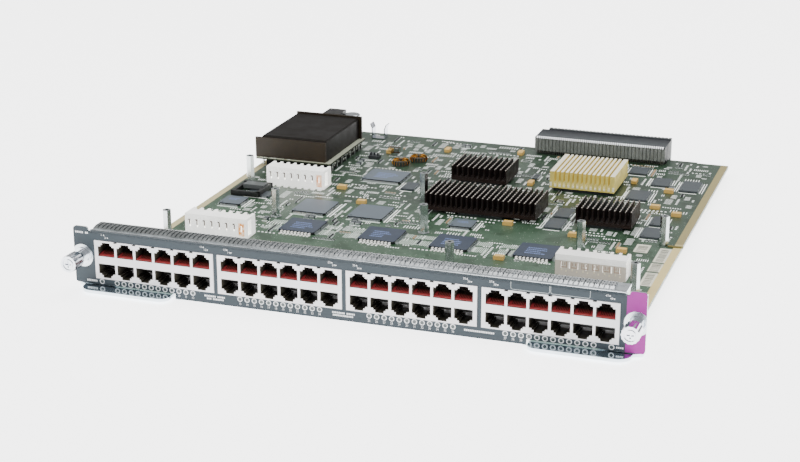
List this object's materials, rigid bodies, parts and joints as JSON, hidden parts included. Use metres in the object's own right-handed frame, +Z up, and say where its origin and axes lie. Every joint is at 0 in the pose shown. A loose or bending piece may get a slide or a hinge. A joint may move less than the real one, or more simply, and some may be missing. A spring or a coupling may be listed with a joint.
{
  "type": "switch line card",
  "caption": "Chassis switch line card: faceplate of ganged network jacks with ejector levers and captive screws, on a circuit board with heat sinks, power headers and a backplane connector.",
  "frame": {"origin": "centre of the card's footprint, at the faceplate's lowest edge", "axes": "+X along the faceplate to the coloured end, +Y from the faceplate to the backplane connector, +Z up from the board"},
  "size_m": [0.3898, 0.4354, 0.0441],
  "materials": {
    "bracket_zinc": "zinc plate",
    "bulk_capacitor": "bare can",
    "carrier_red": "red-brown moulding",
    "chip_epoxy": "moulded epoxy",
    "choke": "black moulding",
    "circuit_board": "green solder mask",
    "connector_shroud": "dark grey moulding",
    "connector_wafers": "grey moulding",
    "cooling_clip": "bright",
    "end_film": "printed purple film",
    "faceplate": "bright zinc plate",
    "ferrule_nickel": "nickel plate",
    "front_film": "printed grey film",
    "gasket_top": "bright spring fingers",
    "header_blades": "plated contacts",
    "header_nylon": "natural white moulding",
    "jack_plastic": "off-white moulding",
    "jumper_block": "black moulding",
    "lead_frames": "tinned leads",
    "lever_zinc": "bright zinc plate",
    "light_guides": "smoked clear",
    "module_black": "satin black",
    "module_board": "pale laminate",
    "module_pins": "plated pins",
    "rivet_steel": "plated",
    "screw_nickel": "nickel plate",
    "screw_steel": "zinc plate",
    "sink_black": "black anodised",
    "sink_gold": "pale gold chromate",
    "spring_steel": "spring steel",
    "standoff_collars": "plated",
    "standoffs": "turned, satin",
    "tantalum_capacitors": "yellow moulding",
    "toroids": "yellow wound core"
  },
  "bodies": {
    "card": {"bracket_screws": "screw_steel", "bulk_capacitor": "bulk_capacitor", "choke": "choke", "circuit_board": "circuit_board", "connector_shroud": "connector_shroud", "connector_wafers": "connector_wafers", "contact_carriers_1": "carrier_red", "contact_carriers_2": "carrier_red", "contact_carriers_3": "carrier_red", "contact_carriers_4": "carrier_red", "cooling_clip": "cooling_clip", "end_film": "end_film", "faceplate": "faceplate", "front_film": "front_film", "gasket_top": "gasket_top", "header_blades": "header_blades", "heat_sink_gold": "sink_gold", "heat_sink_left_rear": "sink_black", "heat_sink_long": "sink_black", "heat_sink_right": "sink_black", "jack_housing_1": "jack_plastic", "jack_housing_2": "jack_plastic", "jack_housing_3": "jack_plastic", "jack_housing_4": "jack_plastic", "jumper_block": "jumper_block", "lead_frames": "lead_frames", "lever_bracket_left": "bracket_zinc", "lever_bracket_right": "bracket_zinc", "lever_rivet_left": "rivet_steel", "lever_rivet_right": "rivet_steel", "light_guides": "light_guides", "low_packs": "chip_epoxy", "module_board": "module_board", "module_cover": "module_black", "module_end_plates": "module_black", "module_pins": "module_pins", "power_header_front_left": "header_nylon", "power_header_front_right": "header_nylon", "power_header_rear_left": "header_nylon", "quad_packs": "chip_epoxy", "screw_ferrule_left": "ferrule_nickel", "screw_ferrule_right": "ferrule_nickel", "screw_spring_left": "spring_steel", "screw_spring_right": "spring_steel", "sink_chips": "chip_epoxy", "standoff_collars": "standoff_collars", "standoffs": "standoffs", "tantalum_capacitors": "tantalum_capacitors", "toroids": "toroids"},
    "lever_left": {"ejector_lever_left": "lever_zinc"},
    "lever_right": {"ejector_lever_right": "lever_zinc"},
    "screw_carrier_left": {"screw_clip_left": "spring_steel"},
    "screw_carrier_right": {"screw_clip_right": "spring_steel"},
    "screw_left": {"captive_screw_left": "screw_nickel"},
    "screw_right": {"captive_screw_right": "screw_nickel"}
  },
  "joints": [
    {"name": "lever_left_pivot", "type": "hinge", "parent": "card", "child": "lever_left", "pos_m": [-0.18, -0.19025, 0.0037], "axis": [0, 0, 1], "range_deg": [-60, 0]},
    {"name": "screw_left_push", "type": "slide", "parent": "card", "child": "screw_carrier_left", "axis": [0, 1, 0], "range_m": [0, 0.005], "stiffness_N_per_m": 400, "springref_m": -0.003, "deforming": ["screw_spring_left"]},
    {"name": "screw_left_turn", "type": "hinge", "parent": "screw_carrier_left", "child": "screw_left", "pos_m": [-0.189, -0.21775, 0.0235], "axis": [0, 1, 0], "continuous": true},
    {"name": "lever_right_pivot", "type": "hinge", "parent": "card", "child": "lever_right", "pos_m": [0.18, -0.19025, 0.0037], "axis": [0, 0, 1], "range_deg": [0, 60]},
    {"name": "screw_right_push", "type": "slide", "parent": "card", "child": "screw_carrier_right", "axis": [0, 1, 0], "range_m": [0, 0.005], "stiffness_N_per_m": 400, "springref_m": -0.003, "deforming": ["screw_spring_right"]},
    {"name": "screw_right_turn", "type": "hinge", "parent": "screw_carrier_right", "child": "screw_right", "pos_m": [0.189, -0.21775, 0.0235], "axis": [0, 1, 0], "continuous": true}
  ]
}
